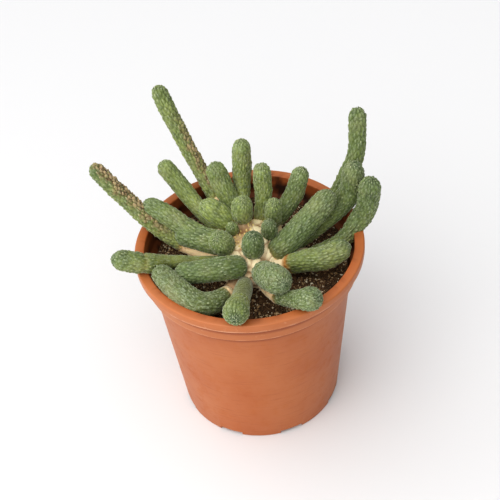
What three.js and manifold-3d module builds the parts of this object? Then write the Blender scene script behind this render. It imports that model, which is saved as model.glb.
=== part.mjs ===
import * as THREE from 'three';
import { mergeVertices } from 'three/addons/utils/BufferGeometryUtils.js';
import Module from 'manifold-3d';

// A medusa-headed euphorbia in its plastic nursery pot, in millimetres, +Z up.
// The origin is the middle of the pot's underside, and the pot's axis is Z.
const pot = {
  height: 106.5,
  rimRadius: 60,
  lipWidth: 5.2,
  lipDepth: 5,
  bandRadius: 56.6,
  bandDepth: 14.5,
  wallTopRadius: 53.2,
  baseRadius: 44,
  wall: 1.5,
  floor: 2.5,
  corner: 1,
  sides: 48,
};
const drain = { count: 8, width: 13, height: 2.6, depth: 5, firstAngle: 0.32 };
const soil = { depth: 13.5, crown: 1.5, sides: 36 };
const head = { centre: [1, 0, 90], radius: 22, top: 22.5, sides: 18, rings: 10 };
// How a stem is drawn: its sides and ring spacing, the shares of its girth taken by the
// rounded tip and by the shoulder it swells over, and how narrow it is where it starts.
const stemShape = { sides: 9, spacing: 6, cap: 0.55, shoulder: 0.42, neck: 0.6, samples: 120 };
const gap = 0.3;

// Every stem is a route of hand-placed points from the head to the tip, with the
// stem's girth at each of them: [x, y, z, girth].
const stems = {
  stem_back_left: [
    [-12, 30, 100, 8], [-20, 48, 110, 8.5], [-27, 59, 122, 9], [-35, 69, 139, 9.5], [-42, 79, 155, 9.5],
  ],
  stem_far_left: [
    [-12, -6, 99, 7], [-25, 3, 99, 8], [-37, 10, 103, 9], [-51, 17, 113, 9.5], [-65, 27, 125, 9.5],
    [-79, 39, 136, 9],
  ],
  stem_left_rear: [
    [-10, 4, 104, 8], [-22, 5, 107, 11], [-32, 11, 111, 11], [-42, 17, 116, 11], [-53, 23, 121, 10],
  ],
  stem_left_mid: [[-9, 1, 104, 9], [-16, 1, 107, 13], [-26, 5, 108, 13], [-38, 10, 108, 11]],
  stem_left_rim: [
    [-10, -7, 101, 6], [-24, -8, 103, 6.5], [-42, -10, 107, 8], [-55, -14, 112, 11.2],
    [-70, -14, 117, 10.5],
  ],
  stem_left_front: [
    [-4, -17, 105.5, 12], [-13, -21, 109.5, 12.5], [-27, -22, 109.5, 12], [-39, -20, 108, 11],
  ],
  stem_front_left: [
    [-12, -28, 99, 9], [-20, -37, 102, 11.5], [-29, -39, 105, 12.5], [-38, -31, 108, 12.5],
    [-48, -16, 109, 11],
  ],
  stem_front: [
    [-4, -22, 99, 8], [-5, -32, 104, 9.5], [-7, -44, 109, 10], [-9, -54, 113, 13], [-10, -63, 115.5, 13.2],
  ],
  stem_front_right: [[4, -24, 99, 5], [11, -38, 103, 6.5], [20, -47, 109, 9.5], [31, -56, 117, 14]],
  stem_young_front: [[5, -20, 103, 13.5], [9, -32, 111, 14.8], [15, -46, 119, 13.8]],
  stem_right_low: [[17, -13, 100, 10], [27, -16, 104.5, 12], [39, -17, 107, 12.5], [51, -13, 110, 11]],
  stem_right_rim: [
    [30, -6, 98, 8], [48, 1, 100, 9], [58, 5, 110, 11], [62.5, 5, 120, 11.5], [64, 3, 138.5, 11.5],
  ],
  stem_right_high: [[11, -8.5, 103, 12.5], [20, -4, 108, 13.5], [33, 4, 116, 13.5], [45.5, 11, 126, 12]],
  stem_right_rear: [
    [22, -1, 99, 5], [37, 8, 103, 6], [49, 15, 112, 12], [55, 15, 122, 12.5], [57, 13, 141.5, 11],
  ],
  stem_back_right: [
    [20, 8, 101, 6], [46, 22, 111, 8.5], [56.5, 27, 126, 10], [60.5, 30, 137, 9.5], [62, 37, 158.5, 9.5],
  ],
  stem_back_near: [[14, 15, 105, 9.5], [24.5, 20, 116, 10.5], [28, 20, 126, 10], [31, 18, 137, 9]],
  stem_back_inner: [[7, 17, 105, 8], [10, 21, 119, 9.5], [10, 22, 130, 10], [10, 20, 140.5, 9]],
  stem_back: [[-2, 27, 103, 7], [-1, 36, 112, 9], [0, 40, 124, 10.5], [1, 41, 142, 9.5]],
  stem_back_short: [[-4, 24, 104, 8.5], [-10, 32, 116, 11], [-13, 36, 124, 11.5], [-15, 35, 132, 10]],
  stem_left_back: [[-14, 14, 103, 8], [-27, 33, 108, 9.5], [-35, 41, 117, 10.2], [-43, 47, 128, 10.2]],
  stem_left_young: [[-8, 15, 106, 11], [-15, 17, 113, 13], [-23, 18, 121, 11]],
  bud_back: [[-2, 15, 110, 10.5], [-2, 12, 119, 12], [-1, 9, 128, 9]],
  bud_back_right: [[14, 12, 107, 8.5], [14, 9, 118, 9.5], [15, 6, 127.5, 8]],
  bud_small: [[-8, 8, 107, 6], [-8, 6, 111, 7], [-8, 5, 116, 6]],
  bud_left: [[-11, -3, 107, 11.5], [-14, -6, 113, 13], [-16, -9, 120, 11]],
  bud_front: [[2, -8, 107, 11], [2, -11, 113, 12], [2, -13, 123.5, 10]],
  bud_right: [[10, 2, 108, 8], [11, 0, 112, 9], [11, -2, 121, 7.5]],
};

const wasm = await Module();
wasm.setup();

function toSolid(geometry) {
  geometry.deleteAttribute('normal');
  geometry.deleteAttribute('uv');
  const welded = mergeVertices(geometry, 1e-4);
  return new wasm.Manifold(new wasm.Mesh({
    numProp: 3,
    vertProperties: Float32Array.from(welded.attributes.position.array),
    triVerts: Uint32Array.from(welded.index.array),
  }));
}

function toGeometry(solid) {
  const { vertProperties, triVerts } = solid.getMesh();
  const geometry = new THREE.BufferGeometry();
  geometry.setAttribute('position', new THREE.BufferAttribute(vertProperties, 3));
  geometry.setIndex(new THREE.BufferAttribute(triVerts, 1));
  return geometry;
}

function turned(profile, sides) {
  const points = profile.map(([radius, height]) => new THREE.Vector2(radius, height));
  return new THREE.LatheGeometry(points, sides).rotateX(Math.PI / 2);
}

// The largest separate body of a solid, without the slivers a cut leaves.
function largestBody(solid) {
  return solid.decompose().reduce((best, body) => (body.volume() > best.volume() ? body : best));
}

// A point on the smooth curve through the route, with the girth as its fourth number.
function routePoint(route, t) {
  const at = t * (route.length - 1);
  const i = Math.min(Math.floor(at), route.length - 2);
  const u = at - i;
  const before = route[i - 1] ?? route[i].map((value, axis) => 2 * value - route[i + 1][axis]);
  const after = route[i + 2] ?? route[i + 1].map((value, axis) => 2 * value - route[i][axis]);
  return route[i].map((value, axis) => {
    const next = route[i + 1][axis];
    const slopeIn = (next - before[axis]) / 2;
    const slopeOut = (after[axis] - value) / 2;
    const cubic = 2 * value - 2 * next + slopeIn + slopeOut;
    const square = 3 * next - 3 * value - 2 * slopeIn - slopeOut;
    return ((cubic * u + square) * u + slopeIn) * u + value;
  });
}

// The route's length, and its point and girth at a distance along it.
function measureRoute(route) {
  const { samples } = stemShape;
  const fine = Array.from({ length: samples + 1 }, (_, k) => routePoint(route, k / samples));
  const run = [0];
  for (let k = 1; k < fine.length; k += 1) {
    const step = Math.hypot(...[0, 1, 2].map((axis) => fine[k][axis] - fine[k - 1][axis]));
    run.push(run[k - 1] + step);
  }
  const total = run[samples];
  const at = (distance) => {
    const k = Math.max(1, run.findIndex((value) => value >= Math.min(distance, total - 1e-6)));
    const share = (distance - run[k - 1]) / (run[k] - run[k - 1]);
    return fine[k - 1].map((value, axis) => value + share * (fine[k][axis] - value));
  };
  return { total, at };
}

// Where a stem has its rings: close together over the shoulder and the tip.
function ringDistances(total, shoulder, capLength) {
  const distances = [0, 0.12, 0.4, 1].map((share) => share * shoulder);
  const body = total - capLength - shoulder;
  const steps = Math.max(2, Math.round(body / stemShape.spacing));
  for (let k = 1; k <= steps; k += 1) distances.push(shoulder + (k / steps) * body);
  [0.5, 0.85, 1].forEach((share) => distances.push(total - capLength * (1 - share)));
  return distances;
}

// A quarter ellipse from a share of the full radius at 0 up to the full radius at 1.
function swell(share, least) {
  const left = 1 - Math.min(share, 1);
  return least + (1 - least) * Math.sqrt(1 - left * left);
}

// A stem: rings square to the route, drawn in to a neck at the head and rounded at the tip.
function stemGeometry(route, grow = 0) {
  const { sides } = stemShape;
  const { total, at } = measureRoute(route);
  const capLength = Math.min(stemShape.cap * route[route.length - 1][3], total / 2);
  const shoulder = Math.min(stemShape.shoulder * route[0][3], total / 3);
  const rings = [];
  let across = new THREE.Vector3(1, 0, 0);
  ringDistances(total, shoulder, capLength).forEach((distance) => {
    const centre = new THREE.Vector3(...at(distance));
    const ahead = new THREE.Vector3(...at(Math.min(distance + 0.5, total)));
    const behind = new THREE.Vector3(...at(Math.max(distance - 0.5, 0)));
    const forward = ahead.sub(behind).normalize();
    across = across.clone().addScaledVector(forward, -across.dot(forward)).normalize();
    const up = new THREE.Vector3().crossVectors(forward, across);
    const round = swell(distance / shoulder, stemShape.neck) * swell((total - distance) / capLength, 0);
    rings.push({ centre, across, up, radius: (at(distance)[3] / 2) * round + grow, forward });
  });
  const first = rings[0];
  const last = rings.pop();
  const positions = [first.centre.clone().addScaledVector(first.forward, -grow).toArray()];
  rings.forEach(({ centre, across: x, up: y, radius }) => {
    for (let s = 0; s < sides; s += 1) {
      const angle = (s / sides) * 2 * Math.PI;
      const point = centre.clone();
      point.addScaledVector(x, radius * Math.cos(angle)).addScaledVector(y, radius * Math.sin(angle));
      positions.push(point.toArray());
    }
  });
  positions.push(last.centre.clone().addScaledVector(last.forward, grow).toArray());
  const geometry = new THREE.BufferGeometry();
  geometry.setAttribute('position', new THREE.Float32BufferAttribute(positions.flat(), 3));
  geometry.setIndex(tubeFaces(rings.length, sides));
  return geometry;
}

// The faces of a closed tube: a start point, the rings one after another, and an end point.
function tubeFaces(ringCount, sides) {
  const faces = [];
  const end = 1 + ringCount * sides;
  for (let s = 0; s < sides; s += 1) {
    const next = (s + 1) % sides;
    faces.push(0, 1 + next, 1 + s);
    for (let a = 1; a < end - sides; a += sides) {
      faces.push(a + s, a + next, a + sides + next, a + s, a + sides + next, a + sides + s);
    }
    faces.push(end - sides + s, end - sides + next, end);
  }
  return faces;
}

function potSolid() {
  const { height, rimRadius, corner, wall } = pot;
  const innerRim = rimRadius - pot.lipWidth;
  const lipBottom = height - pot.lipDepth;
  const bandBottom = height - pot.bandDepth;
  const outside = [
    [0, 0], [pot.baseRadius - corner, 0], [pot.baseRadius, corner], [pot.wallTopRadius, bandBottom],
    [pot.bandRadius, bandBottom + 0.4], [pot.bandRadius + 0.4, lipBottom], [rimRadius - 0.4, lipBottom],
    [rimRadius, lipBottom + 0.5], [rimRadius, height - corner],
    [rimRadius - 0.3 * corner, height - 0.3 * corner], [rimRadius - corner, height],
  ];
  const inside = [
    [innerRim + 0.5, height], [innerRim, height - 0.5], [innerRim - 0.2, bandBottom + wall + 1],
    [pot.wallTopRadius - wall, bandBottom - 1], [pot.baseRadius - wall, pot.floor + 1],
    [pot.baseRadius - wall - 1, pot.floor], [0, pot.floor],
  ];
  let solid = toSolid(turned([...outside, ...inside], pot.sides));
  for (let k = 0; k < drain.count; k += 1) {
    const slot = new THREE.BoxGeometry(2 * drain.depth, drain.width, 2 * drain.height);
    slot.translate(pot.baseRadius, 0, 0).rotateZ(drain.firstAngle + (k / drain.count) * 2 * Math.PI);
    solid = solid.subtract(toSolid(slot));
  }
  return solid;
}

// The ring the stems keep clear of: the rim and the wall under it, with the gap added.
function rimGuard() {
  const bandBottom = pot.height - pot.bandDepth;
  const wallInside = pot.wallTopRadius - pot.wall - gap;
  const outer = pot.rimRadius + gap;
  const top = pot.height + gap;
  const innerRim = pot.rimRadius - pot.lipWidth - gap;
  const ring = [
    [wallInside - 1, bandBottom - 20], [outer, bandBottom - 20], [outer, top], [innerRim, top],
    [innerRim - 0.2, bandBottom + pot.wall + 1], [wallInside, bandBottom - 1],
    [wallInside - 1, bandBottom - 20],
  ];
  return toSolid(turned(ring, pot.sides));
}

function headGeometry(grow = 0) {
  const [x, y, z] = head.centre;
  const geometry = new THREE.SphereGeometry(1, head.sides, head.rings).rotateX(Math.PI / 2);
  geometry.scale(head.radius + grow, head.radius + grow, head.top + grow);
  return geometry.translate(x, y, z);
}

function soilSolid(blockers) {
  const surface = pot.height - soil.depth;
  const reach = pot.wallTopRadius - pot.wall - gap - 0.4;
  const foot = pot.baseRadius - pot.wall - 1.2;
  const profile = [
    [0, pot.floor + gap], [foot, pot.floor + gap], [foot + 0.6, pot.floor + 3], [reach, surface],
    [0.6 * reach, surface + 0.8 * soil.crown], [0, surface + soil.crown],
  ];
  return blockers.reduce((solid, blocker) => solid.subtract(blocker), toSolid(turned(profile, soil.sides)));
}

const root = new THREE.Group();

function addNode(name, solid, color, roughness) {
  const material = new THREE.MeshStandardMaterial({ color, roughness, metalness: 0 });
  const mesh = new THREE.Mesh(toGeometry(solid), material);
  mesh.name = name;
  root.add(mesh);
}

const potBody = potSolid();
addNode('pot', potBody, 0xc46a42, 0.5);
addNode('head', toSolid(headGeometry()), 0xd9bf92, 0.8);
const blockers = [toSolid(headGeometry(gap)), rimGuard()];
Object.entries(stems).forEach(([name, route]) => {
  let solid = toSolid(stemGeometry(route));
  blockers.forEach((blocker) => {
    solid = solid.subtract(blocker);
  });
  addNode(name, largestBody(solid), 0x5f7f45, 0.7);
  blockers.push(toSolid(stemGeometry(route, gap)));
});
const [headGuard, , ...stemGuards] = blockers;
addNode('soil', largestBody(soilSolid([headGuard, ...stemGuards])), 0x2c2019, 0.95);

export default root;
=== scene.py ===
import math
import bmesh
import bpy
import numpy as np
from mathutils import Matrix, Vector


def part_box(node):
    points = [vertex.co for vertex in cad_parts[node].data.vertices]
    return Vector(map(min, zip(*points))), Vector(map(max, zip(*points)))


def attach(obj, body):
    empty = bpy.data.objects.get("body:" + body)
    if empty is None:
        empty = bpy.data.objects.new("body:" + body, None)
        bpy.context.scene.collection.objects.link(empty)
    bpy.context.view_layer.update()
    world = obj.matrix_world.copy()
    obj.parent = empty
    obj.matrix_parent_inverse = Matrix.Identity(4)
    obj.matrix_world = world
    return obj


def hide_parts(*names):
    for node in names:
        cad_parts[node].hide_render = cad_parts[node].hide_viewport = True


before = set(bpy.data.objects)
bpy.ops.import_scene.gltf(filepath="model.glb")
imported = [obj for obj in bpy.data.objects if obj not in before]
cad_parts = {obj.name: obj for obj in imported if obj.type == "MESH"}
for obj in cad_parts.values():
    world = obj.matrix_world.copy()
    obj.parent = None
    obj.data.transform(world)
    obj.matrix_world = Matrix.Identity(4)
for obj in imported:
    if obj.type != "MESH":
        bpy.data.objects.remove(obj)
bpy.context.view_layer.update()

# lengths are metres, the pot's axis is Z and its front faces -Y
potLow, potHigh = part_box("pot")
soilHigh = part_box("soil")[1]
headLow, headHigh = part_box("head")
rimRadius = (potHigh.x - potLow.x) / 2
rimHeight = potHigh.z
mm = 0.001

cameraSetup = {
    "lens": 80,
    "lift": 42.93,  # degrees above the horizon
    "roll": -5.5,
    "distance": 0.5816,
    "target": (0.00014, 0, 0.1008),
}

lightSetup = {
    "skyColour": (1.0, 1.0, 1.0),
    "skyBright": (-0.6, -0.35, 0.72),  # where the sky is brightest
    "skyLow": 0.06,
    "skyHigh": 1.29,
    "keyPlace": (-0.40, -0.52, 0.85),
    "keyAim": (0, 0, 0.08),
    "keySize": 0.8,
    "keyPower": 3.3,
    "keyColour": (1.0, 0.985, 0.96),
    "floorSize": 6.0,
    "floorColour": (229, 229, 230),
}


def makeCamera(setup):
    lift = math.radians(setup["lift"])
    roll = math.radians(setup["roll"])
    back = Vector((0, -math.cos(lift), math.sin(lift)))
    level = Vector((1, 0, 0))
    upright = back.cross(level)
    right = math.cos(roll) * level + math.sin(roll) * upright
    up = math.cos(roll) * upright - math.sin(roll) * level
    lens = bpy.data.cameras.new("camera")
    lens.lens = setup["lens"]
    camera = bpy.data.objects.new("camera", lens)
    camera.matrix_world = Matrix((right, up, back)).transposed().to_4x4()
    camera.location = Vector(setup["target"]) + setup["distance"] * back
    bpy.context.scene.collection.objects.link(camera)
    bpy.context.scene.camera = camera


def tint(red, green, blue):
    # a screen colour of 0 to 255 as the shader's linear colour
    linear = [((value / 255 + 0.055) / 1.055) ** 2.4 for value in (red, green, blue)]
    return (*linear, 1.0)


class Wire:
    # a socket that takes part in sums

    def __init__(self, socket):
        self.socket = socket

    def sum(self, operation, *values):
        tree = self.socket.id_data
        node = tree.nodes.new("ShaderNodeMath")
        node.operation = operation
        for spot, value in zip(node.inputs, values):
            connect(spot, value)
        return Wire(node.outputs[0])

    def __add__(self, other):
        return self.sum("ADD", self, other)

    def __radd__(self, other):
        return self.sum("ADD", other, self)

    def __sub__(self, other):
        return self.sum("SUBTRACT", self, other)

    def __rsub__(self, other):
        return self.sum("SUBTRACT", other, self)

    def __mul__(self, other):
        return self.sum("MULTIPLY", self, other)

    def __rmul__(self, other):
        return self.sum("MULTIPLY", other, self)


def connect(socket, value):
    if isinstance(value, Wire):
        socket.id_data.links.new(value.socket, socket)
    else:
        socket.default_value = value


class Paint:
    # the nodes of a material or of the sky

    def __init__(self, owner):
        self.owner = owner
        owner.use_nodes = True
        self.tree = owner.node_tree
        self.tree.nodes.clear()

    def node(self, kind, settings, inputs, out=0):
        made = self.tree.nodes.new("ShaderNode" + kind)
        for name, value in settings.items():
            if name == "stops":
                self.setStops(made.color_ramp, value)
            else:
                setattr(made, name, value)
        for name, value in inputs.items():
            connect(made.inputs[name], value)
        return Wire(made.outputs[out])

    def setStops(self, ramp, stops):
        while len(ramp.elements) < len(stops):
            ramp.elements.new(1)
        for element, (place, colour) in zip(ramp.elements, stops):
            element.position = place
            element.color = colour

    def given(self, name, out="Fac"):
        return self.node("Attribute", {"attribute_name": name}, {}, out)

    def place(self):
        return self.node("TexCoord", {}, {}, "Object")

    def stretched(self, vector, scale, move=0):
        settings = {"Vector": vector, "Scale": scale, "Location": (move, move, move)}
        return self.node("Mapping", {}, settings)

    def noise(self, scale, detail=3.0, roughness=0.55, vector=None):
        inputs = {"Scale": scale, "Detail": detail, "Roughness": roughness, "Vector": vector or self.place()}
        return self.node("TexNoise", {}, inputs, "Fac")

    def span(self, value, low, high):
        # 0 below low and 1 above high, with a smooth step between them
        settings = {"interpolation_type": "SMOOTHSTEP"}
        return self.node("MapRange", settings, {"Value": value, "From Min": low, "From Max": high}, "Result")

    def blend(self, share, first, second):
        return self.node("Mix", {"data_type": "RGBA"}, {0: share, 6: first, 7: second}, 2)

    def bump(self, height, strength, distance):
        return self.node("Bump", {}, {"Height": height, "Strength": strength, "Distance": distance}, "Normal")

    def finish(self, shader, kind):
        output = self.tree.nodes.new("ShaderNodeOutput" + kind)
        self.tree.links.new(shader.socket, output.inputs["Surface"])
        return self.owner

    def surface(self, inputs):
        return self.finish(self.node("BsdfPrincipled", {}, inputs, "BSDF"), "Material")


def makePiece(name, points, faces, material, attributes=None):
    mesh = bpy.data.meshes.new(name)
    mesh.from_pydata(np.asarray(points).tolist(), [], faces)
    mesh.shade_smooth()
    for key, values in (attributes or {}).items():
        kind, field = ("FLOAT", "value") if np.ndim(values) == 1 else ("FLOAT_VECTOR", "vector")
        mesh.attributes.new(key, kind, "POINT")
        mesh.attributes[key].data.foreach_set(field, np.asarray(values, np.float32).ravel())
    mesh.materials.append(material)
    piece = bpy.data.objects.new(name, mesh)
    bpy.context.scene.collection.objects.link(piece)
    return piece


def settle(piece, node):
    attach(piece, "root")
    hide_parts(node)


def applyModifiers(piece):
    ready = piece.evaluated_get(bpy.context.evaluated_depsgraph_get())
    mesh = bpy.data.meshes.new_from_object(ready)
    piece.modifiers.clear()
    piece.data = mesh


def readVectors(mesh, field):
    flat = np.empty(len(mesh.vertices) * 3)
    mesh.vertices.foreach_get(field, flat)
    return flat.reshape(-1, 3)


def step(value, low, high):
    share = np.clip((value - low) / (high - low), 0, 1)
    return share * share * (3 - 2 * share)


def cellChance(cells, seed):
    # a repeatable number from 0 to 1 for every whole-numbered cell
    mixed = cells[..., 0] * 73856093 ^ cells[..., 1] * 19349663 ^ cells[..., 2] * 83492791 ^ seed * 2654435
    mixed = (mixed ^ (mixed >> 13)) * 1274126177 & 0x7FFFFFFF
    return (mixed ^ (mixed >> 16)) % 100003 / 100003


def lumps(points, size, seed):
    # smooth noise from -1 to 1 with lumps about size across
    cells = np.floor(points / size).astype(np.int64)
    share = points / size - cells
    share = share * share * (3 - 2 * share)
    total = np.zeros(len(points))
    for corner in np.ndindex(2, 2, 2):
        weight = np.prod(np.where(corner, share, 1 - share), axis=1)
        total += weight * cellChance(cells + corner, seed)
    return 2 * total - 1


potShape = {
    "segments": 256,
    "lipWidth": 5.2 * mm,
    "lipDepth": 5 * mm,
    "bandRadius": 56.6 * mm,
    "bandDepth": 14.5 * mm,
    "wallTopRadius": 53.2 * mm,
    "baseRadius": 44 * mm,
    "wall": 1.5 * mm,
    "floor": 2.5 * mm,
    "drains": 8,
    "drainWidth": 13 * mm,
    "drainHeight": 2.6 * mm,
    "drainDepth": 5 * mm,
    "firstDrain": 0.32,
    "waver": 0.09 * mm,
    "colour": tint(173, 95, 47),
    "faded": tint(188, 119, 74),
    "deep": tint(140, 66, 28),
    "worn": tint(230, 186, 156),
    # the colour of the stains and of the painted shade inside the pot
    "dirt": tint(46, 24, 13),
    "roughness": 0.44,
    "refraction": 1.46,
    "sharpFrom": math.radians(38),
    "dirtiestSide": 1.35,
    # how far below the rim the painted shade on the inner wall starts and where it is full
    "insideShadeStart": 5 * mm,
    "insideShadeFull": 8 * mm,
}


def roundedProfile(corners, steps=5):
    # each corner is (radius, height, rounding), drawn as a short curve
    line = []
    for index, (radius, height, rounding) in enumerate(corners):
        here = np.array([radius, height])
        if rounding == 0:
            line.append(here)
            continue
        before = np.array(corners[index - 1][:2]) - here
        after = np.array(corners[index + 1][:2]) - here
        start = here + before * min(rounding / np.linalg.norm(before), 0.5)
        end = here + after * min(rounding / np.linalg.norm(after), 0.5)
        for share in np.linspace(0, 1, steps):
            line.append((1 - share) ** 2 * start + 2 * share * (1 - share) * here + share ** 2 * end)
    return np.array(line)


def turnedMesh(line, segments):
    # turns a line that starts and ends on the axis into a closed skin
    angles = np.arange(segments) * 2 * math.pi / segments
    rings = line[1:-1]
    x = rings[:, :1] * np.cos(angles)
    y = rings[:, :1] * np.sin(angles)
    z = np.repeat(rings[:, 1:], segments, axis=1)
    body = np.stack([x, y, z], axis=-1).reshape(-1, 3)
    points = np.vstack([[0, 0, line[0][1]], body, [0, 0, line[-1][1]]])
    last = len(points) - 1
    faces = []
    for turn in range(segments):
        after = (turn + 1) % segments
        faces.append((0, 1 + after, 1 + turn))
        for ring in range(len(rings) - 1):
            low = 1 + ring * segments
            high = low + segments
            faces.append((low + turn, low + after, high + after, high + turn))
        top = 1 + (len(rings) - 1) * segments
        faces.append((top + turn, top + after, last))
    return points, faces


def potPaint(shape):
    paint = Paint(bpy.data.materials.new("terracottaPlastic"))
    cloudy = paint.noise(28, 4, 0.6)
    streaks = paint.noise(1, 5, 0.65, paint.stretched(paint.place(), (60, 60, 900)))
    scuffs = paint.noise(140, 6, 0.7)
    scratches = paint.noise(1, 4, 0.7, paint.stretched(paint.place(), (90, 90, 1500), 3))
    height = paint.node("SeparateXYZ", {}, {"Vector": paint.place()}, "Z")
    outside = 1 - paint.given("inside")
    lipBottom = rimHeight - shape["lipDepth"]
    bandBottom = rimHeight - shape["bandDepth"]

    def edge(ledge, above):
        return paint.span(height, ledge - 0.6 * mm, ledge) * paint.span(height, ledge + above, ledge)

    colour = paint.blend(paint.span(cloudy, 0.3, 0.7) * 0.5, shape["colour"], shape["faded"])
    colour = paint.blend(paint.span(streaks, 0.52, 0.75) * 0.35, colour, shape["deep"])
    onBand = paint.span(height, bandBottom, bandBottom + 1 * mm) * outside
    colour = paint.blend(onBand * 0.5, colour, shape["faded"])
    colour = paint.blend(paint.span(scuffs, 0.58, 0.72) * onBand * 0.22, colour, shape["worn"])
    edges = edge(lipBottom, 1.9 * mm) + 0.6 * edge(bandBottom, 2 * mm)
    wear = edges * outside * paint.span(scratches + 0.4 * scuffs, 0.66, 0.8)
    colour = paint.blend(wear * 0.6, colour, shape["worn"])
    shaded = 0
    for ledge in (lipBottom, bandBottom):
        under = paint.span(height, ledge - 5.6 * mm, ledge - 3.4 * mm)
        shaded = under * paint.span(height, ledge, ledge - 0.3 * mm) + shaded
    colour = paint.blend(shaded * outside * 0.8, colour, shape["deep"])
    # the inside gets its stains and its painted shade
    colour = paint.blend(paint.given("dirt"), colour, shape["dirt"])
    grain = paint.noise(900, 2, 0.5)
    rough = shape["roughness"] + 0.16 * paint.span(scuffs, 0.45, 0.75) + 0.35 * paint.given("dirt")
    normal = paint.bump(grain + 0.6 * streaks, 0.12, 0.1 * mm)
    inputs = {"Base Color": colour, "Roughness": rough, "Normal": normal, "IOR": shape["refraction"]}
    return paint.surface(inputs)


def buildPot(shape):
    lipBottom = rimHeight - shape["lipDepth"]
    bandBottom = rimHeight - shape["bandDepth"]
    innerRim = rimRadius - shape["lipWidth"]
    wall = shape["wall"]
    base = shape["baseRadius"]
    wallTop = shape["wallTopRadius"]
    corners = [(0, 0, 0), (base, 0, 1.2 * mm)]
    for share in (0.25, 0.5, 0.75):
        corners.append((base + share * (wallTop - base), share * bandBottom, 0))
    corners += [
        (wallTop, bandBottom, 0.5 * mm),
        (shape["bandRadius"], bandBottom + 0.3 * mm, 0.5 * mm),
        (shape["bandRadius"] + 0.4 * mm, lipBottom, 0.5 * mm),
        (rimRadius, lipBottom + 0.1 * mm, 0.6 * mm),
        (rimRadius, rimHeight, 1.0 * mm),
        (innerRim, rimHeight, 0.7 * mm),
    ]
    for inset, drop in ((0.05, 3), (0.1, 5), (0.15, 6.5), (0.2, 8)):
        corners.append((innerRim - inset * mm, rimHeight - drop * mm, 0))
    corners += [
        (innerRim - 0.25 * mm, bandBottom + wall + 1 * mm, 1.0 * mm),
        (wallTop - wall, bandBottom - 1 * mm, 1.0 * mm),
        (base - wall + 0.5 * (wallTop - base), 0.5 * bandBottom, 0),
        (base - wall, shape["floor"], 1.2 * mm),
        (0, shape["floor"], 0),
    ]
    line = roundedProfile(corners)
    insideRings = len(line) - 2 - int(np.argmax(line[:, 1]))
    points, faces = turnedMesh(line, shape["segments"])
    radius = np.hypot(points[:, 0], points[:, 1])
    flattened = points / [1, 1, 2.5]
    shrink = 1 - shape["waver"] * (1 + lumps(flattened, 22 * mm, 3)) / 2 / np.maximum(radius, 1 * mm)
    points[:, 0] *= shrink
    points[:, 1] *= shrink
    angle = np.arctan2(points[:, 1], points[:, 0])
    inside = np.arange(len(points)) > len(points) - insideRings * shape["segments"]
    # stains: blotches on the inner wall, strongest at the back
    blotch = step(lumps(points, 5 * mm, 8) + 0.6 * lumps(points, 1.6 * mm, 9), -0.1, 0.9)
    # painted shade: the inner wall darkens from 5 to 8 mm below the rim and stays dark below that
    deepInsideShade = step(-points[:, 2], shape["insideShadeStart"] - rimHeight, shape["insideShadeFull"] - rimHeight)
    atBack = np.exp(-((angle - shape["dirtiestSide"]) / 0.35) ** 2)
    dirt = blotch * (0.3 + 0.6 * atBack) + deepInsideShade * (0.55 + 0.45 * blotch)
    dirt = inside * np.clip(dirt, 0, 0.95)
    attributes = {"dirt": dirt, "inside": inside}
    piece = makePiece("potMoulding", points, faces, potPaint(shape), attributes)
    cutter = makeDrainCutter(shape)
    cut = piece.modifiers.new("drains", "BOOLEAN")
    cut.object = cutter
    cut.solver = "EXACT"
    applyModifiers(piece)
    bpy.data.objects.remove(cutter)
    piece.data.shade_smooth()
    piece.data.set_sharp_from_angle(angle=shape["sharpFrom"])
    settle(piece, "pot")
    print("pot:", len(piece.data.polygons), "faces")


def makeDrainCutter(shape):
    built = bmesh.new()
    for turn in range(shape["drains"]):
        angle = shape["firstDrain"] + turn * 2 * math.pi / shape["drains"]
        size = (2 * shape["drainDepth"], shape["drainWidth"], 2 * shape["drainHeight"], 1)
        outward = Matrix.Translation((shape["baseRadius"], 0, 0))
        moved = Matrix.Rotation(angle, 4, "Z") @ outward @ Matrix.Diagonal(size)
        bmesh.ops.create_cube(built, size=1, matrix=moved)
    mesh = bpy.data.meshes.new("drainCutter")
    built.to_mesh(mesh)
    built.free()
    cutter = bpy.data.objects.new("drainCutter", mesh)
    bpy.context.scene.collection.objects.link(cutter)
    return cutter


soilShape = {
    "rings": 76,
    "segments": 300,
    "depth": 13.5 * mm,
    "crown": 1.5 * mm,
    "grains": 5200,
    "grainLeast": 0.24 * mm,
    "grainSpread": 0.5 * mm,
    "tanFrom": 0.45,
    "paleFrom": 0.82,
    "heaps": [(0.9 * mm, 7 * mm), (0.55 * mm, 2.6 * mm)],  # how high and how far across
    "crumbs": [(0.4 * mm, 1.2 * mm), (0.25 * mm, 0.6 * mm)],
    "seed": 41,
    "dark": tint(28, 19, 12),
    "brown": tint(118, 88, 60),
    "tan": tint(202, 172, 128),
    "pale": tint(244, 236, 210),
}


def soilPaint(shape):
    paint = Paint(bpy.data.materials.new("peatAndGrit"))
    speckle = paint.noise(1900, 5, 0.7)
    crumbs = paint.noise(1100, 5, 0.75)
    patches = paint.noise(170, 3, 0.6)
    colour = paint.blend(paint.span(speckle, 0.45, 0.6), shape["dark"], shape["brown"])
    colour = paint.blend(paint.span(crumbs, 0.56, 0.68) * 0.6, colour, shape["tan"])
    colour = paint.blend(paint.span(patches, 0.45, 0.75) * 0.5, colour, shape["brown"])
    stops = [(0.0, shape["dark"]), (0.5, shape["brown"]), (0.75, shape["tan"]), (1.0, shape["pale"])]
    grit = paint.node("ValToRGB", {"stops": stops}, {"Fac": paint.given("grit")})
    colour = paint.blend(paint.span(paint.given("grit"), 0.02, 0.1) * 0.9, colour, grit)
    normal = paint.bump(speckle + 0.4 * patches, 0.7, 0.4 * mm)
    inputs = {"Base Color": colour, "Roughness": 0.93, "Normal": normal, "Specular IOR Level": 0.3}
    return paint.surface(inputs)


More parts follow.
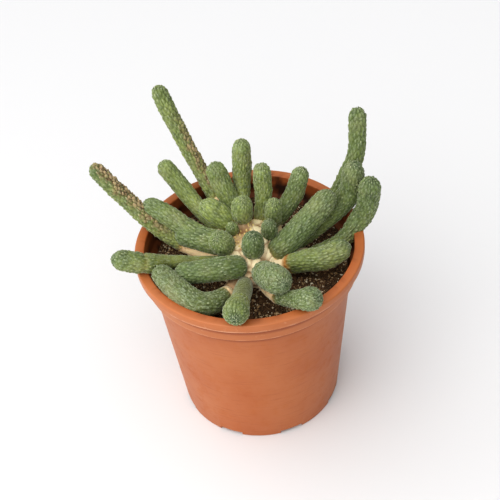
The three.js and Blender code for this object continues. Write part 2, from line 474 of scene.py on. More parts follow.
def grainSolid():
    built = bmesh.new()
    bmesh.ops.create_icosphere(built, subdivisions=1, radius=1)
    points = np.array([corner.co for corner in built.verts])
    faces = np.array([[corner.index for corner in face.verts] for face in built.faces])
    built.free()
    return points, faces


def heaped(points, heaps, seed):
    return sum(height * lumps(points, width, seed + number) for number, (height, width) in enumerate(heaps))


def buildSoil(shape):
    surface = rimHeight - shape["depth"]
    reach = potShape["wallTopRadius"] - potShape["wall"] - 0.35 * mm
    foot = potShape["baseRadius"] - potShape["wall"] - 1.2 * mm
    radii = reach * np.sqrt(np.linspace(0, 1, shape["rings"] + 1)[1:]) ** 1.4
    radii *= reach / radii[-1]
    line = [(0, surface + shape["crown"])]
    line += [(radius, surface + shape["crown"] * (1 - (radius / reach) ** 2)) for radius in radii]
    line += [(0.5 * (reach + foot), 0.5 * surface), (foot, potShape["floor"] + 0.4 * mm)]
    line += [(0, potShape["floor"] + 0.4 * mm)]
    points, faces = turnedMesh(np.array(line)[::-1], shape["segments"])
    top = points[:, 2] > surface - 1 * mm
    points[:, 2] += top * (heaped(points, shape["heaps"], 21) + heaped(points, shape["crumbs"], 23))
    random = np.random.default_rng(shape["seed"])
    solid, solidFaces = grainSolid()
    allPoints, allFaces, allGrit = [points], list(faces), [np.zeros(len(points))]
    count = len(points)
    for _ in range(shape["grains"]):
        radius = reach * math.sqrt(random.random()) * 0.985
        angle = random.random() * 2 * math.pi
        size = shape["grainLeast"] + shape["grainSpread"] * random.random() ** 2
        stretch = random.uniform(0.55, 1.5, 3)
        kind = random.random()
        lift = surface + shape["crown"] * (1 - (radius / reach) ** 2)
        centre = np.array([radius * math.cos(angle), radius * math.sin(angle), lift])
        centre[2] += heaped(centre[None], shape["heaps"], 21)[0]
        turn = np.array(Matrix.Rotation(random.random() * 6.3, 3, random.normal(size=3)))
        knobbly = solid * (1 + 0.25 * random.normal(size=(len(solid), 1)))
        allPoints.append(centre + (knobbly * stretch * size) @ turn.T)
        allFaces += (solidFaces + count).tolist()
        shade = 0.12 + 0.4 * random.random()
        if kind > shape["tanFrom"]:
            shade = 0.6 + 0.2 * random.random()
        if kind > shape["paleFrom"]:
            shade = 0.85 + 0.15 * random.random()
        allGrit.append(np.full(len(solid), shade))
        count += len(solid)
    attributes = {"grit": np.hstack(allGrit)}
    piece = makePiece("pottingSoil", np.vstack(allPoints), allFaces, soilPaint(shape), attributes)
    settle(piece, "soil")
    print("soil:", count, "points")


stemShape = {
    "ringStep": 0.34 * mm,
    "segmentSize": 0.36 * mm,
    "tubercle": 1.75 * mm,
    "tubercleHeight": 0.6 * mm,
    "scarWidth": 0.26 * mm,
    "scarLength": 0.45 * mm,
    "streakWidth": 0.28 * mm,
    "notch": 0.65 * mm,
    "goldenAngle": math.radians(137.508),
    "packing": 0.87,
    "crowding": 0.42,  # how much smaller the tubercles are at the tip
    "crowdReach": 7 * mm,
    "tipReach": 5 * mm,
    "turnJitter": 0.25,
    "placeJitter": 0.32,
    "furrow": 0.42,
    "capShare": 0.55,
    "shoulder": 0.42,
    "neck": 0.6,
    "deepGreen": tint(52, 67, 37),
    "green": tint(106, 123, 69),
    "yellowGreen": tint(147, 156, 80),
    "blueGreen": tint(70, 94, 64),
    "scar": tint(196, 200, 158),
    "paleGreen": tint(174, 188, 104),
    "olive": tint(92, 92, 48),
    "bloom": tint(168, 180, 150),
    "dry": tint(152, 146, 116),
    "dust": tint(222, 226, 210),
    "cork": tint(178, 154, 120),
    "corkDark": tint(100, 82, 54),
    "cream": tint(250, 220, 172),
    "creamDark": tint(216, 176, 128),
    "rust": tint(196, 128, 62),
}

# what a stem's skin is like where its own entry doesn't say
plainLook = {
    "size": 1.0,  # of the tubercles
    "height": 1.0,
    "fresh": 0.6,  # how blue the tip is
    "pale": 0,
    "olive": 0,
    "dusty": 0.25,
    "nubs": 0,  # how far the scars stand out at the tip
    "alike": 0,  # 1 on a stem whose base looks like its tip
    "cream": 1.5 * mm,  # the length of the cream base
    "rust": 0.15,
    "ring": None,  # where a notch goes round, as a share of the length
    "thin": None,  # where a smooth neck ends, as a share of the length
    "cork": None,
}

# every stem's route from the head to its tip, as (x, y, z, girth) in millimetres, and what sets it apart
stems = {
    "stem_back_left": {
        "route": [(-12, 30, 100, 8), (-20, 48, 110, 8.5), (-27, 59, 122, 9), (-35, 69, 139, 9.5),
                  (-42, 79, 155, 9.5)],
        "stretch": 1.4, "cream": 11 * mm, "age": 0.75, "pale": 0.15, "size": 1.25, "fresh": 0.1,
        "height": 1.6,
        "cork": {"side": (0.95, -0.1, 0.3), "from": 0.2, "to": 0.72, "amount": 0.9},
    },
    "stem_far_left": {
        "route": [(-12, -6, 99, 7), (-25, 3, 99, 8), (-37, 10, 103, 9), (-51, 17, 113, 9.5),
                  (-65, 27, 125, 9.5), (-79, 39, 136, 9)],
        "stretch": 1.15, "cream": 27 * mm, "age": 0.8, "size": 1.25, "fresh": 0.1, "rust": 0.5,
        "height": 1.8,
        "cork": {"side": (0.5, 0.1, 0.85), "from": 0.42, "to": 1.1, "amount": 1.0},
    },
    "stem_left_rear": {
        "route": [(-10, 4, 104, 8), (-22, 5, 107, 11), (-32, 11, 111, 11), (-42, 17, 116, 11),
                  (-53, 23, 121, 10)],
        "stretch": 2.0, "age": 0.45, "pale": 0.1, "dusty": 0.4,
    },
    "stem_left_mid": {
        "route": [(-9, 1, 104, 9), (-16, 1, 107, 13), (-26, 5, 108, 13), (-38, 10, 108, 11)],
        "stretch": 1.9, "age": 0.4, "fresh": 1.0, "dusty": 0.35, "cream": -3 * mm, "alike": 1.0,
    },
    "stem_left_rim": {
        "route": [(-10, -7, 101, 6), (-24, -8, 103, 6.5), (-42, -10, 107, 8), (-55, -14, 112, 11.2),
                  (-70, -14, 117, 10.5)],
        "stretch": 1.3, "age": 0.85, "dusty": 0.45, "thin": 0.66, "ring": 0.71, "olive": 0.35,
    },
    "stem_left_front": {
        "route": [(-4, -17, 105.5, 12), (-13, -21, 109.5, 12.5), (-27, -22, 109.5, 12),
                  (-39, -20, 108, 11)],
        "stretch": 1.4, "age": 0.2, "fresh": 0.9, "cream": -3 * mm, "alike": 1.0,
    },
    "stem_front_left": {
        "route": [(-12, -28, 99, 9), (-20, -37, 102, 11.5), (-29, -39, 105, 12.5), (-38, -31, 108, 12.5),
                  (-48, -16, 109, 11)],
        "stretch": 1.3, "age": 0.2, "olive": 0.25, "fresh": 0.8, "cream": 5 * mm, "dusty": 0.6,
    },
    "stem_front": {
        "route": [(-4, -22, 99, 8), (-5, -32, 104, 9.5), (-7, -44, 109, 10), (-9, -54, 113, 13),
                  (-10, -63, 115.5, 13.2)],
        "stretch": 1.2, "age": 0.95, "fresh": 1.0, "thin": 0.6, "ring": 0.62, "rust": 0.5, "olive": 0.75,
    },
    "stem_front_right": {
        "route": [(4, -24, 99, 5), (11, -38, 103, 6.5), (20, -47, 109, 9.5), (31, -56, 117, 14)],
        "stretch": 1.2, "age": 0.35, "fresh": 0.9, "dusty": 0.6, "cream": 17 * mm, "rust": 0.4,
    },
    "stem_young_front": {
        "route": [(5, -20, 103, 13.5), (9, -32, 111, 14.8), (15, -46, 119, 13.8)],
        "stretch": 1.3, "age": 0.25, "fresh": 0.8, "dusty": 0.7, "ring": 0.3,
    },
    "stem_right_low": {
        "route": [(17, -13, 100, 10), (27, -16, 104.5, 12), (39, -17, 107, 12.5), (51, -13, 110, 11)],
        "stretch": 1.5, "age": 0.6, "height": 1.15, "cream": 3 * mm, "rust": 1.0,
    },
    "stem_right_rim": {
        "route": [(30, -6, 98, 8), (48, 1, 100, 9), (58, 5, 110, 11), (62.5, 5, 120, 11.5),
                  (64, 3, 138.5, 11.5)],
        "stretch": 1.6, "age": 0.4, "size": 1.2, "fresh": 0.2, "height": 1.5,
    },
    "stem_right_high": {
        "route": [(11, -8.5, 103, 12.5), (20, -4, 108, 13.5), (33, 4, 116, 13.5), (45.5, 11, 126, 12)],
        "stretch": 1.7, "age": 0.3, "height": 1.15,
    },
    "stem_right_rear": {
        "route": [(22, -1, 99, 5), (37, 8, 103, 6), (49, 15, 112, 12), (55, 15, 122, 12.5),
                  (57, 13, 141.5, 11)],
        "stretch": 1.6, "age": 0.5,
    },
    "stem_back_right": {
        "route": [(20, 8, 101, 6), (46, 22, 111, 8.5), (56.5, 27, 126, 10), (60.5, 30, 137, 9.5),
                  (62, 37, 158.5, 9.5)],
        "stretch": 1.8, "age": 0.55, "size": 1.2, "fresh": 0.2, "height": 1.6,
    },
    "stem_back_near": {
        "route": [(14, 15, 105, 9.5), (24.5, 20, 116, 10.5), (28, 20, 126, 10), (31, 18, 137, 9)],
        "stretch": 2.0, "age": 0.35, "pale": 0.2, "fresh": 0.2, "dusty": 0.45,
    },
    "stem_back_inner": {
        "route": [(7, 17, 105, 8), (10, 21, 119, 9.5), (10, 22, 130, 10), (10, 20, 140.5, 9)],
        "stretch": 2.2, "age": 0.75, "pale": 0.5, "fresh": 0.15, "dusty": 0.6,
    },
    "stem_back": {
        "route": [(-2, 27, 103, 7), (-1, 36, 112, 9), (0, 40, 124, 10.5), (1, 41, 142, 9.5)],
        "stretch": 2.0, "age": 0.9, "pale": 0.3, "fresh": 0.1, "dusty": 0.7,
    },
    "stem_back_short": {
        "route": [(-4, 24, 104, 8.5), (-10, 32, 116, 11), (-13, 36, 124, 11.5), (-15, 35, 132, 10)],
        "stretch": 2.2, "age": 0.5, "pale": 0.35, "fresh": 0.2, "dusty": 0.4,
    },
    "stem_left_back": {
        "route": [(-14, 14, 103, 8), (-27, 33, 108, 9.5), (-35, 41, 117, 10.2), (-43, 47, 128, 10.2)],
        "stretch": 2.2, "age": 0.75, "pale": 0.3, "fresh": 0.2, "dusty": 0.35,
    },
    "stem_left_young": {
        "route": [(-8, 15, 106, 11), (-15, 17, 113, 13), (-23, 18, 121, 11)],
        "stretch": 2.0, "age": 0.85, "pale": 0.6,
    },
    "bud_back": {
        "route": [(-2, 15, 110, 10.5), (-2, 12, 119, 12), (-1, 9, 128, 9)],
        "stretch": 1.7, "age": 0.4, "pale": 0.55, "nubs": 1.0,
    },
    "bud_back_right": {
        "route": [(14, 12, 107, 8.5), (14, 9, 118, 9.5), (15, 6, 127.5, 8)],
        "stretch": 1.5, "age": 0.35, "pale": 0.45, "nubs": 0.6,
    },
    "bud_small": {
        "route": [(-8, 8, 107, 6), (-8, 6, 111, 7), (-8, 5, 116, 6)],
        "stretch": 1.0, "age": 0.2, "pale": 0.45, "nubs": 1.0,
    },
    "bud_left": {
        "route": [(-11, -3, 107, 11.5), (-14, -6, 113, 13), (-16, -9, 120, 11)],
        "stretch": 1.3, "age": 0.1, "pale": 0.35, "nubs": 0.8,
    },
    "bud_front": {
        "route": [(2, -8, 107, 11), (2, -11, 113, 12), (2, -13, 123.5, 10)],
        "stretch": 1.3, "age": 0.15, "nubs": 1.0,
    },
    "bud_right": {
        "route": [(10, 2, 108, 8), (11, 0, 112, 9), (11, -2, 121, 7.5)],
        "stretch": 1.3, "age": 0.2, "nubs": 1.0,
    },
}


def smoothRoute(route, count):
    # points along the smooth curve through a route, with the girth as their fourth number
    line = np.array(route)
    line = np.vstack([2 * line[0] - line[1], line, 2 * line[-1] - line[-2]])
    at = np.linspace(0, len(route) - 1, count)
    index = np.minimum(at.astype(int), len(route) - 2)
    u = (at - index)[:, None]
    before, here, after, beyond = (line[index + shift] for shift in range(4))
    slopeIn = (after - before) / 2
    slopeOut = (beyond - here) / 2
    cubic = 2 * here - 2 * after + slopeIn + slopeOut
    square = 3 * after - 3 * here - 2 * slopeIn - slopeOut
    return ((cubic * u + square) * u + slopeIn) * u + here


def unit(vectors):
    return vectors / np.maximum(np.linalg.norm(vectors, axis=-1, keepdims=True), 1e-12)


def swell(share, least):
    # rises from least to 1 along a quarter circle
    return least + (1 - least) * np.sqrt(1 - (1 - np.clip(share, 0, 1)) ** 2)


def stemFrames(route, ringStep, capShare, shoulder, neck):
    # stations along the stem, close together over the rounded tip
    fine = smoothRoute(route, 600)
    run = np.hstack([0, np.cumsum(np.linalg.norm(np.diff(fine[:, :3], axis=0), axis=1))])
    total = run[-1]
    tipGirth = route[-1][3]
    cap = min(capShare * tipGirth, total / 2)
    body = np.linspace(0, total - cap, max(4, round((total - cap) / ringStep)))
    turns = np.linspace(0, math.pi / 2, max(6, round(cap * 1.35 / ringStep)))[1:]
    distance = np.hstack([body, total - cap + cap * np.sin(turns)])
    narrowing = np.hstack([np.ones(len(body)), np.cos(turns)])
    narrowing *= swell(distance / min(shoulder * route[0][3], total / 3), neck)
    facing = np.hstack([np.zeros(len(body)), np.sin(turns)])

    def onRoute(places):
        return np.stack([np.interp(places, run, fine[:, axis]) for axis in range(3)], axis=1)

    centre = onRoute(distance)
    girth = np.interp(distance, run, fine[:, 3])
    ahead = onRoute(np.minimum(distance + 0.5 * mm, total))
    behind = onRoute(np.maximum(distance - 0.5 * mm, 0))
    forward = unit(ahead - behind)
    side = np.array([1.0, 0, 0])
    across = np.empty_like(forward)
    for index, way in enumerate(forward):
        side = unit(side - way * (side @ way))
        across[index] = side
    up = np.cross(forward, across)
    radius = 0.97 * girth / 2 * narrowing
    return centre, forward, across, up, radius, facing


def stemPoints(frames, segments):
    centre, forward, across, up, radius, facing = frames
    angles = np.arange(segments) * 2 * math.pi / segments
    radial = across[:, None] * np.cos(angles)[None, :, None] + up[:, None] * np.sin(angles)[None, :, None]
    points = centre[:, None] + radial * radius[:, None, None]
    tilt = facing[:, None, None]
    outward = unit(radial * np.sqrt(1 - tilt ** 2) + forward[:, None] * tilt)
    return points, outward


def tipLike(look, run, reach):
    # 1 at the tip, and at the base of a stem whose ends look alike
    base = look["alike"] * (1 - step(run, 0.15 * reach, 0.9 * reach))
    return np.maximum(step(run, run[-1] - reach, run[-1]), base)


def layTubercles(frames, look, shape, seed):
    # low mounds in the spiral order in which a plant sets its leaves
    width = shape["tubercle"]
    centre, forward, across, up, radius, facing = frames
    meridian = np.hypot(np.linalg.norm(np.diff(centre, axis=0), axis=1), np.diff(radius))
    run = np.hstack([0, np.cumsum(meridian)])
    ends = tipLike(look, run, shape["crowdReach"])
    size = width * look["size"] * (1 - shape["crowding"] * ends)
    stretch = 1 + (look["stretch"] - 1) * (1 - ends)
    density = 2 * math.pi * radius / (shape["packing"] * size ** 2 * stretch)
    count = np.hstack([0, np.cumsum((density[1:] + density[:-1]) / 2 * np.diff(run))])
    places = np.interp(np.arange(0.5, count[-1]), count, run)
    random = np.random.default_rng(seed)
    angle = np.arange(len(places)) * shape["goldenAngle"]
    shift = random.normal(0, shape["turnJitter"] * width, len(places))
    angle += shift / np.interp(places, run, np.maximum(radius, 2 * mm))
    places = places + random.normal(0, shape["placeJitter"] * width, len(places))
    station = np.interp(places, run, np.arange(len(run)))
    pick = np.clip(station.astype(int), 0, len(run) - 2)
    share = (np.clip(station, 0, len(run) - 1) - pick)[:, None]

    def between(values):
        return values[pick] * (1 - share) + values[pick + 1] * share

    radial = between(across) * np.cos(angle)[:, None] + between(up) * np.sin(angle)[:, None]
    spot = between(centre) + radial * between(radius[:, None])
    slope = between(facing[:, None])
    along = unit(between(forward) * np.sqrt(np.clip(1 - slope ** 2, 0, 1)) - radial * slope)
    mood = random.random(len(places))
    sizes = np.interp(places, run, size)
    stretches = np.interp(places, run, stretch)
    return run, places, spot, along, mood, sizes, stretches


def raiseTubercles(points, laid, ends, look, shape):
    # how high the skin is, and where its furrows, leaf scars and the streaks below them are
    run, places, spot, along, mood, sizes, stretches = laid
    rings, segments = points.shape[:2]
    rows = np.arange(segments)
    reach = 2.6 * shape["tubercle"] * look["size"] * look["stretch"]
    mound, valley, scar, streak, shade = np.zeros((5, rings, segments))
    for ring in range(rings):
        near = np.flatnonzero(np.abs(places - run[ring]) < reach)
        gap = points[ring][:, None] - spot[near][None]
        lengthwise = np.einsum("ijk,jk->ij", gap, along[near])
        crosswise = np.sqrt(np.maximum((gap ** 2).sum(-1) - lengthwise ** 2, 0))
        far = np.sqrt((lengthwise / stretches[near]) ** 2 + crosswise ** 2) / sizes[near]
        order = np.argsort(far, axis=1)
        first = order[:, 0]
        edge = np.clip((far[rows, order[:, 1]] - far[rows, first]) / shape["furrow"], 0, 1)
        width = sizes[near][first]
        length = width * stretches[near][first]
        lean = lengthwise[rows, first] / length
        sideways = crosswise[rows, first]
        ridge = 1 - np.clip(sideways / (0.55 * width), 0, 1) ** 1.5
        mound[ring] = (0.45 * ridge + 0.55 * edge * (2 - edge)) * (1 + 0.5 * np.clip(lean, -0.6, 0.6))
        # the furrows between tubercles, where shade is painted
        valley[ring] = 1 - step(edge, 0, 0.8)
        drift = lengthwise[rows, first] - 0.3 * length
        scarLength = shape["scarLength"] * (1 - 0.4 * ends[ring])
        shade[ring] = mood[near][first]
        strength = np.maximum(step(shade[ring], 0.3, 0.85), 0.75 * ends[ring])
        scar[ring] = strength * np.exp(-(sideways / shape["scarWidth"]) ** 2 - (drift / scarLength) ** 2)
        tail = np.exp(-(sideways / shape["streakWidth"]) ** 2) * (drift < 0)
        streak[ring] = tail * (1 - step(-drift, 0.2 * mm, 0.9 * length))
    return mound, valley, scar, streak, shade


def skinStem(look, shape, seed):
    route = np.array(look["route"]) * mm
    frames = stemFrames(route, shape["ringStep"], shape["capShare"], shape["shoulder"], shape["neck"])
    radius = frames[4]
    segments = 2 * round(math.pi * radius.max() / shape["segmentSize"])
    points, outward = stemPoints(frames, segments)
    laid = layTubercles(frames, look, shape, seed)
    run = laid[0]
    rings = len(run)
    ends = tipLike(look, run, shape["tipReach"])
    mound, valley, scar, streak, shade = raiseTubercles(points, laid, ends, look, shape)
    everywhere = np.ones((rings, segments))
    share = (run / run[-1])[:, None]
    ends = ends[:, None] * everywhere
    flat = points.reshape(-1, 3)
    wobble = lumps(flat, 7 * mm, seed).reshape(rings, segments)
    patch = lumps(flat, 2.4 * mm, seed + 50).reshape(rings, segments)
    fine = lumps(flat, 0.9 * mm, seed + 90).reshape(rings, segments)
    cream = creamBase(look, run, patch)
    cork = corkPatch(look, outward, share, patch, fine)
    thin = 0 * share
    if look["thin"]:
        thin = 1 - step(share, look["thin"] - 0.08, look["thin"] + 0.02)
    rising = 1 - 0.75 * (1 - look["alike"]) * (1 - step(run, 0, 4 * mm)[:, None])
    calm = (1 - 0.8 * cream) * (1 - 0.65 * thin) * rising
    height = shape["tubercleHeight"] * look["height"] * calm * (1 + 0.3 * ends)
    lift = height * (mound - 0.85) * (1 + 0.35 * cork) * (0.75 + 0.5 * shade)
    lift += scar * calm * (0.12 + 0.14 * ends + 0.3 * look["nubs"] * ends) * mm
    lift += radius[:, None] * 0.05 * wobble * (1 - 0.6 * ends) + (0.13 * patch + 0.06 * fine) * calm * mm
    lift += cork * 0.16 * mm * patch + cream * 0.2 * mm * patch
    if look["ring"]:
        lift -= shape["notch"] * np.exp(-((share - look["ring"]) / 0.02) ** 2)
    skin = points + outward * lift[..., None]
    angles = np.arange(segments) * 2 * math.pi / segments
    straight = radius[:, None] * np.stack([np.cos(angles), np.sin(angles)])[:, None]
    length = (run[:, None] + 0.1 * (seed % 100)) * everywhere
    attributes = {
        "scar": scar * (1 - 0.5 * cork) * calm,
        "streak": streak * calm,
        "valley": valley * calm,
        "shade": shade * calm,
        "tip": ends,
        "fresh": ends * look["fresh"],
        "cream": cream,
        "cork": cork,
        "olive": look["olive"] * (thin if look["thin"] else 1) * everywhere,
        "pale": look["pale"] * everywhere,
        "rust": rustNeck(look, run, share, patch),
        "age": np.clip(look["age"] * (1.2 - 0.85 * share) + 0.12 * wobble + 0.25 * thin, 0, 1),
        "dusty": look["dusty"] * everywhere,
        "straight": np.stack([*straight, length], axis=-1),
    }
    return skin, attributes


def creamBase(look, run, patch):
    edge = look["cream"] + 1.3 * mm * patch
    return 1 - step(run[:, None], edge - 0.8 * mm, edge + 0.9 * mm)


def rustNeck(look, run, share, patch):
    past = run[:, None] - look["cream"] - 0.8 * mm * (1 + patch)
    rust = look["rust"] * np.exp(-(past / (1.7 * mm)) ** 2)
    if look["ring"]:
        rust += 0.12 * np.exp(-((share - look["ring"]) / 0.022) ** 2) * step(patch, -0.8, 0.4)
    return np.clip(rust, 0, 1)


def corkPatch(look, outward, share, patch, fine):
    cork = look["cork"]
    if not cork:
        return np.zeros(patch.shape)
    facing = outward @ unit(np.array(cork["side"])) + 0.5 * patch + 0.35 * fine
    begun = step(share, cork["from"] - 0.08, cork["from"] + 0.1)
    ended = step(share, cork["to"] - 0.2, cork["to"] + 0.1)
    return cork["amount"] * step(facing, 0.1, 0.8) * begun * (1 - ended)


def stemPaint(shape):
    paint = Paint(bpy.data.materials.new("stemSkin"))
    straight = paint.given("straight", "Vector")
    broad = paint.noise(70, 4, 0.6)
    cloud = paint.noise(230, 3, 0.6)
    mottle = paint.noise(420, 4, 0.65)
    frost = paint.noise(620, 5, 0.75)
    grain = paint.noise(1900, 3, 0.6)
    stripes = paint.noise(1, 3, 0.6, paint.stretched(straight, (850, 850, 140)))
    dashes = paint.noise(1, 3, 0.6, paint.stretched(straight, (1900, 1900, 520), 5))
    shade = paint.given("shade")
    dusty = paint.given("dusty")
    older = paint.span(paint.given("age") + 0.6 * broad, 0.35, 1.15)
    base = paint.blend(older, shape["green"], shape["yellowGreen"])
    base = paint.blend(paint.given("fresh"), base, shape["blueGreen"])
    base = paint.blend(paint.given("pale"), base, shape["paleGreen"])
    base = paint.blend(paint.span(cloud, 0.42, 0.7) * 0.45, base, shape["deepGreen"])
    base = paint.blend(paint.span(stripes + 0.12 * shade, 0.5, 0.72) * 0.42, base, shape["deepGreen"])
    base = paint.blend(paint.span(grain, 0.5, 0.68) * 0.35, base, shape["deepGreen"])
    # painted shade: the furrows between tubercles are darkened toward deep green, most at the tip
    base = paint.blend(paint.given("valley") * (0.34 + 0.4 * paint.given("tip")), base, shape["deepGreen"])
    base = paint.blend(paint.given("olive"), base, shape["olive"])
    bloom = paint.span(frost + 0.35 * grain, 0.66, 0.84) * dusty
    base = paint.blend(bloom, base, shape["bloom"])
    streaks = paint.span(dashes, 0.52, 0.74) * (0.3 + 0.5 * dusty)
    base = paint.blend(streaks, base, shape["bloom"])
    dry = paint.span(broad + 0.25 * mottle, 0.6, 0.82) * (0.08 + 0.32 * dusty)
    base = paint.blend(dry, base, shape["dry"])
    base = paint.blend(paint.given("streak") * (0.2 + 0.3 * shade), base, shape["bloom"])
    mark = paint.span(paint.given("scar"), 0.15, 0.75) * (0.6 + 0.2 * paint.given("tip"))
    base = paint.blend(mark, base, shape["scar"])
    # cork is darker in a mottled pattern and, as painted shade, in the furrows between its knobs
    dark = paint.span(mottle + 0.3 * paint.given("valley") - 0.3 * shade, 0.3, 0.65)
    bark = paint.blend(dark, shape["cork"], shape["corkDark"])
    speckled = paint.given("cork") * (0.35 + 0.65 * paint.span(frost + 0.3 * grain, 0.5, 0.7))
    base = paint.blend(speckled, base, bark)
    root = paint.blend(paint.span(mottle, 0.5, 0.72), shape["cream"], shape["creamDark"])
    base = paint.blend(paint.given("cream"), base, root)
    base = paint.blend(paint.given("rust") * 0.8, base, shape["rust"])
    inputs = {
        "Base Color": base,
        "Roughness": 0.52 + 0.2 * paint.given("cork") + 0.15 * mottle,
        "Normal": paint.bump(grain + 0.8 * stripes + 0.6 * dashes, 0.75, 0.2 * mm),
        "Specular IOR Level": 0.35,
        "Sheen Weight": 1.0,
        "Sheen Roughness": 0.3,
        "Sheen Tint": shape["dust"],
        "Subsurface Weight": 0.06,
        "Subsurface Radius": (0.6, 1.0, 0.3),
        "Subsurface Scale": 1.2 * mm,
    }
    return paint.surface(inputs)


def pieceName(node):
    first, *rest = node.split("_")
    return first + "".join(word.capitalize() for word in rest)


def closeTube(skin):
    # the last ring becomes the point of the tip
    body = len(skin) - 1
    segments = skin.shape[1]
    points = np.vstack([skin[:-1].reshape(-1, 3), skin[0].mean(0), skin[-1].mean(0)])
    here = np.arange(segments)
    after = (here + 1) % segments
    faces = []
    for ring in range(body - 1):
        low = ring * segments
        high = low + segments
        faces += np.stack([low + here, low + after, high + after, high + here], axis=1).tolist()
    faces += np.stack([after, here, np.full(segments, body * segments)], axis=1).tolist()
    last = (body - 1) * segments
    faces += np.stack([last + here, last + after, np.full(segments, body * segments + 1)], axis=1).tolist()
    return points, faces


def buildStems(shape):
    skinPaint = stemPaint(shape)
    total = 0
    for number, (node, look) in enumerate(stems.items()):
        skin, attributes = skinStem({**plainLook, **look}, shape, 100 + number)
        points, faces = closeTube(skin)
        kept = {}
        for key, values in attributes.items():
            body = values[:-1].reshape(-1, *values.shape[2:])
            kept[key] = np.concatenate([body, values[:1].mean(1), values[-1:].mean(1)])
        piece = makePiece(pieceName(node), points, faces, skinPaint, kept)
        settle(piece, node)
        total += len(points)
    print("stems:", len(stems), "pieces and", total, "points")


headShape = {
    "voxel": 0.55 * mm,
    "apex": (-4.5 * mm, 2 * mm, 111 * mm),
    "apexReach": 8 * mm,
    "plates": 150,
    "plateSize": 7.5 * mm,
    "creaseDepth": 0.75 * mm,
    "apexDepth": 1.2 * mm,
    "seed": 17,
    "nubs": 46,
    "nubSize": (0.38, 0.62),  # least and most, in millimetres
    "nubStretch": (1.5, 2.6),
    "coneStep": 1.2 * mm,
    "coneSegments": 20,
    "cream": tint(254, 240, 200),
    "pink": tint(246, 220, 180),
    "brown": tint(156, 112, 74),
    "tan": tint(176, 140, 92),
    "nub": tint(228, 206, 138),
}


def headPaint(shape):
    paint = Paint(bpy.data.materials.new("corkyHead"))
    broad = paint.noise(120, 4, 0.6)
    fine = paint.noise(900, 4, 0.7)
    base = paint.blend(paint.span(broad, 0.4, 0.7), shape["cream"], shape["pink"])
    base = paint.blend(paint.span(fine, 0.55, 0.75) * 0.45, base, shape["tan"])
    base = paint.blend(paint.given("apex") * 0.8, base, shape["tan"])
    base = paint.blend(paint.given("crease"), base, shape["brown"])
    base = paint.blend(paint.given("nub"), base, shape["nub"])
    normal = paint.bump(fine + broad, 0.5, 0.25 * mm)
    inputs = {"Base Color": base, "Roughness": 0.72, "Normal": normal, "Specular IOR Level": 0.35}
    return paint.surface(inputs)


def rootCone(look, middle, shape):
    # a swelling of the head that reaches out to where a stem starts
    start, second = np.array(look["route"][:2]) * mm
    inner = middle + 0.45 * (start[:3] - middle)
    outer = start[:3] + 0.18 * (second[:3] - start[:3])
    if look.get("cream", 0) > 10 * mm:  # the stem has a long cream base of its own
        outer = start[:3]
    wide = max(13 * mm, 1.5 * start[3])
    route = [(*inner, wide), (*(0.4 * inner + 0.6 * start[:3]), 0.8 * wide), (*outer, start[3] * 1.12)]
    skin = stemPoints(stemFrames(route, shape["coneStep"], 0.45, 1, 1), shape["coneSegments"])[0]
    return closeTube(skin)


def buildHead(shape):
    middle = np.array((headLow + headHigh) / 2)
    radius = (headHigh.x - headLow.x) / 2
    tall = (headHigh.z - headLow.z) / 2
    built = bmesh.new()
    bmesh.ops.create_icosphere(built, subdivisions=5, radius=1)
    size = [radius, radius, tall]
    points = np.array([corner.co for corner in built.verts]) * size * 0.985 + middle
    faces = [[corner.index for corner in face.verts] for face in built.faces]
    built.free()
    allPoints, allFaces, count = [points], list(faces), len(points)
    for look in stems.values():
        cone, coneFaces = rootCone(look, middle, shape)
        allPoints.append(cone)
        allFaces += [[index + count for index in face] for face in coneFaces]
        count += len(cone)
    material = headPaint(shape)
    piece = makePiece("headLumps", np.vstack(allPoints), allFaces, material)
    remesh = piece.modifiers.new("union", "REMESH")
    remesh.mode = "VOXEL"
    remesh.voxel_size = shape["voxel"]
    smooth = piece.modifiers.new("soften", "SMOOTH")
    smooth.iterations = 6
    smooth.factor = 0.6
    applyModifiers(piece)
    points = readVectors(piece.data, "co")
    outward = readVectors(piece.data, "normal")
    faces = [list(face.vertices) for face in piece.data.polygons]
    bpy.data.objects.remove(piece)
    random = np.random.default_rng(shape["seed"])
    seeds = middle + unit(random.normal(size=(shape["plates"], 3))) * size
    gaps = np.linalg.norm(points[:, None] - seeds[None], axis=2)
    ranked = np.sort(gaps, axis=1)
    edge = (ranked[:, 1] - ranked[:, 0]) / shape["plateSize"]
    warp = 0.12 * lumps(points, 3 * mm, 31)
    crease = 1 - step(edge + warp, 0.0, 0.2)
    apexGap = np.linalg.norm(points - shape["apex"], axis=1)
    apexGap += 2 * mm * lumps(points, 3 * mm, 33)
    apex = 1 - step(apexGap, 0.5 * shape["apexReach"], shape["apexReach"])
    lift = 0.35 * mm * lumps(points, 4 * mm, 34) + 0.12 * mm * lumps(points, 1.3 * mm, 35)
    lift -= shape["creaseDepth"] * crease + shape["apexDepth"] * apex
    points = points + outward * lift[:, None]
    above = points[:, 2] > soilHigh.z - 6 * mm
    nubs, nubFaces = growNubs(shape, points, outward, random)
    faces += (nubFaces + len(points)).tolist()
    none = np.zeros(len(nubs))
    attributes = {
        "crease": np.hstack([crease * 0.8 * above, none]),
        "apex": np.hstack([apex, none]),
        "nub": np.hstack([np.zeros(len(points)), none + 1]),
    }
    piece = makePiece("creamHead", np.vstack([points, nubs]), faces, material, attributes)
    settle(piece, "head")
    print("head:", len(points) + len(nubs), "points")


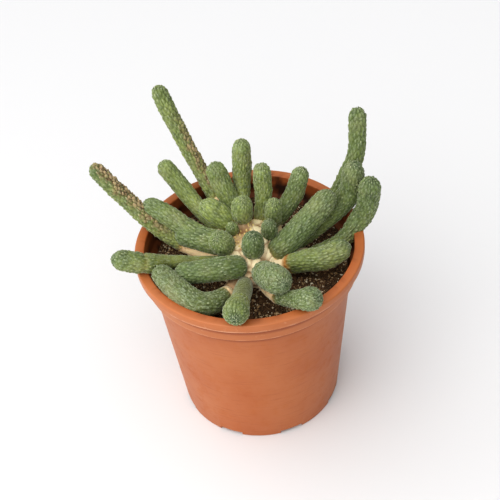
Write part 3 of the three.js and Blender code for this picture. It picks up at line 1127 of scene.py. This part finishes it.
def growNubs(shape, points, outward, random):
    # tiny blunt leaf stubs round the growing point
    solid, solidFaces = grainSolid()
    apexGap = np.linalg.norm(points - shape["apex"], axis=1)
    around = np.flatnonzero(apexGap < 1.25 * shape["apexReach"])
    picked = random.choice(around, shape["nubs"], replace=False)
    allPoints, allFaces = [], []
    for number, index in enumerate(picked):
        size = random.uniform(*shape["nubSize"]) * mm
        stretch = random.uniform(*shape["nubStretch"])
        turn = np.array(Vector(outward[index]).to_track_quat("Z", "X").to_matrix())
        allPoints.append(points[index] + (solid * [size, size, size * stretch]) @ turn.T)
        allFaces.append(solidFaces + number * len(solid))
    return np.vstack(allPoints), np.vstack(allFaces)


def buildStudio(setup):
    scene = bpy.context.scene
    scene.view_settings.view_transform = "Standard"
    scene.view_settings.look = "Medium High Contrast"
    sky = Paint(bpy.data.worlds.new("sky"))
    way = sky.node("TexCoord", {}, {}, "Generated")
    toward = sky.node("VectorMath", {"operation": "DOT_PRODUCT"}, {0: way, 1: setup["skyBright"]}, "Value")
    glow = sky.span(toward, -0.2, 0.75)
    strength = setup["skyLow"] + (setup["skyHigh"] - setup["skyLow"]) * glow
    inputs = {"Color": (*setup["skyColour"], 1), "Strength": strength}
    scene.world = sky.finish(sky.node("Background", {}, inputs, "Background"), "World")
    lamp = bpy.data.lights.new("key", "AREA")
    lamp.size = setup["keySize"]
    lamp.energy = setup["keyPower"]
    lamp.color = setup["keyColour"]
    key = bpy.data.objects.new("key", lamp)
    key.location = setup["keyPlace"]
    aim = Vector(setup["keyAim"]) - Vector(setup["keyPlace"])
    key.rotation_euler = aim.to_track_quat("-Z", "Y").to_euler()
    scene.collection.objects.link(key)
    paint = Paint(bpy.data.materials.new("paleFloor"))
    material = paint.surface({"Base Color": tint(*setup["floorColour"]), "Roughness": 0.9})
    half = setup["floorSize"] / 2
    corners = [(-half, -half, 0), (half, -half, 0), (half, half, 0), (-half, half, 0)]
    floor = makePiece("floor", corners, [(0, 1, 2, 3)], material)


makeCamera(cameraSetup)
buildStudio(lightSetup)
buildPot(potShape)
buildSoil(soilShape)
buildHead(headShape)
buildStems(stemShape)
